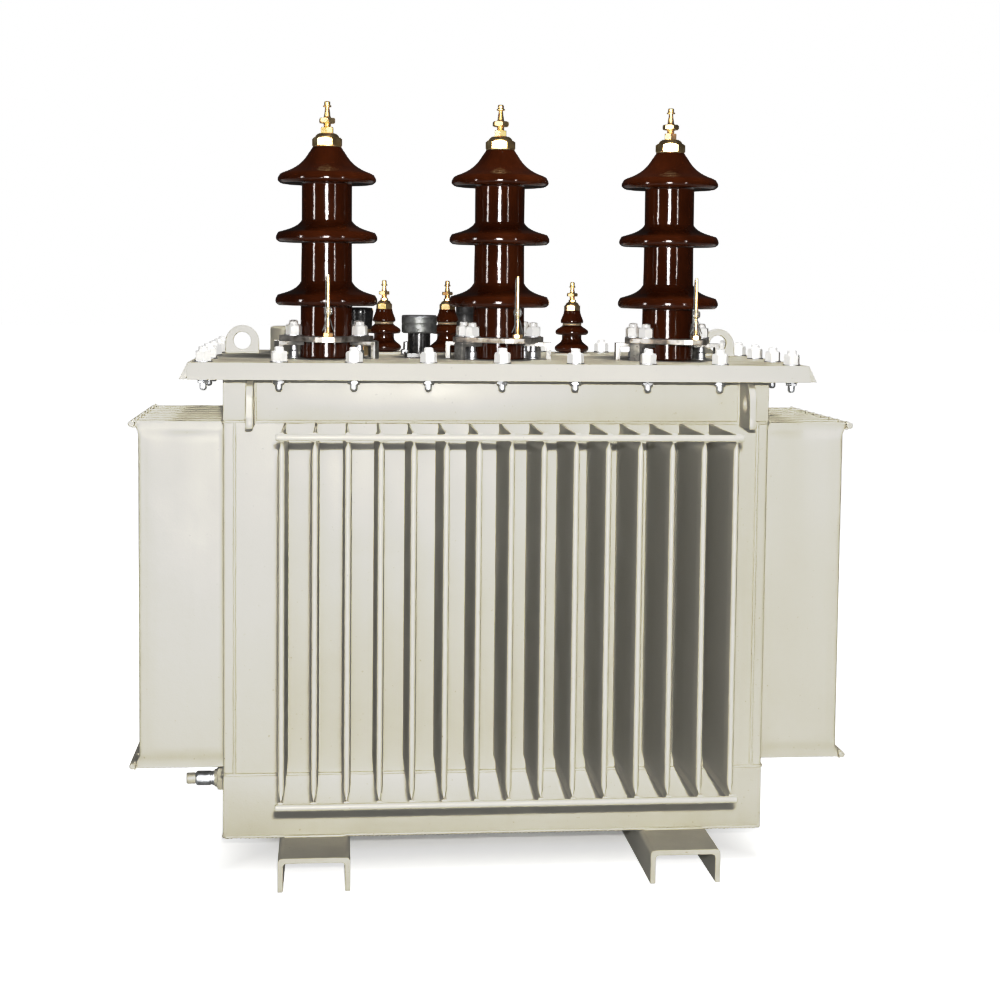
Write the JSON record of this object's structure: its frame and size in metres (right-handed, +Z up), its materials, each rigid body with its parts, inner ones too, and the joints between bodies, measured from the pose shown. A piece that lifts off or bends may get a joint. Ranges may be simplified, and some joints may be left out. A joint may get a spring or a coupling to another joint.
{
  "type": "power transformer",
  "caption": "Oil-filled three-phase power transformer: corrugated fin tank on channel feet, bolted cover, brown porcelain high- and low-voltage bushings with brass studs.",
  "frame": {"origin": "on the floor, under the middle of the tank", "axes": "+Z up, -Y towards the front (the side with the high-voltage bushings nearer), +X to the right seen from the front"},
  "size_m": [1.09, 0.772, 1.147],
  "materials": {
    "paint": "satin light warm grey",
    "porcelain": "glossy brown glaze",
    "brass": "polished",
    "clamp_steel": "machined, dirty",
    "zinc_steel": "zinc plated",
    "gasket": "matte",
    "seal_ring": "matte beige",
    "cast_grey": "bare grey",
    "black_gloss": "gloss black",
    "dark_grey": "satin dark grey"
  },
  "bodies": {
    "root": {"left_foot_channel": "paint", "right_foot_channel": "paint", "tank_floor": "paint", "lower_skirt": "paint", "upper_frame": "paint", "front_fin_wall": "paint", "rear_fin_wall": "paint", "left_fin_wall": "paint", "right_fin_wall": "paint", "front_tie_bars": "paint", "rear_tie_bars": "paint", "left_tie_bars": "paint", "right_tie_bars": "paint", "tank_flange": "paint", "cover_gasket": "gasket", "cover_plate": "paint", "hv_porcelain_left": "porcelain", "hv_porcelain_middle": "porcelain", "hv_porcelain_right": "porcelain", "hv_terminal_left": "brass", "hv_terminal_middle": "brass", "hv_terminal_right": "brass", "hv_clamp_plate_left": "clamp_steel", "hv_clamp_plate_middle": "clamp_steel", "hv_clamp_plate_right": "clamp_steel", "hv_clamp_claws": "zinc_steel", "hv_clamp_studs": "zinc_steel", "arcing_rods": "brass", "lv_porcelain_1": "porcelain", "lv_porcelain_2": "porcelain", "lv_porcelain_3": "porcelain", "lv_porcelain_4": "porcelain", "lv_gasket_rings": "seal_ring", "lv_top_porcelains": "porcelain", "lv_terminals": "brass", "left_cover_eye": "paint", "right_cover_eye": "paint", "tank_lifting_lugs": "paint", "filler_pipe": "black_gloss", "filler_coupling": "cast_grey", "instrument_pot": "paint", "relief_valve_stem": "brass", "relief_valve_cap": "black_gloss", "tap_switch": "dark_grey", "earth_stud": "zinc_steel", "drain_valve_body": "paint", "drain_valve_spout": "zinc_steel"}
  },
  "joints": []
}
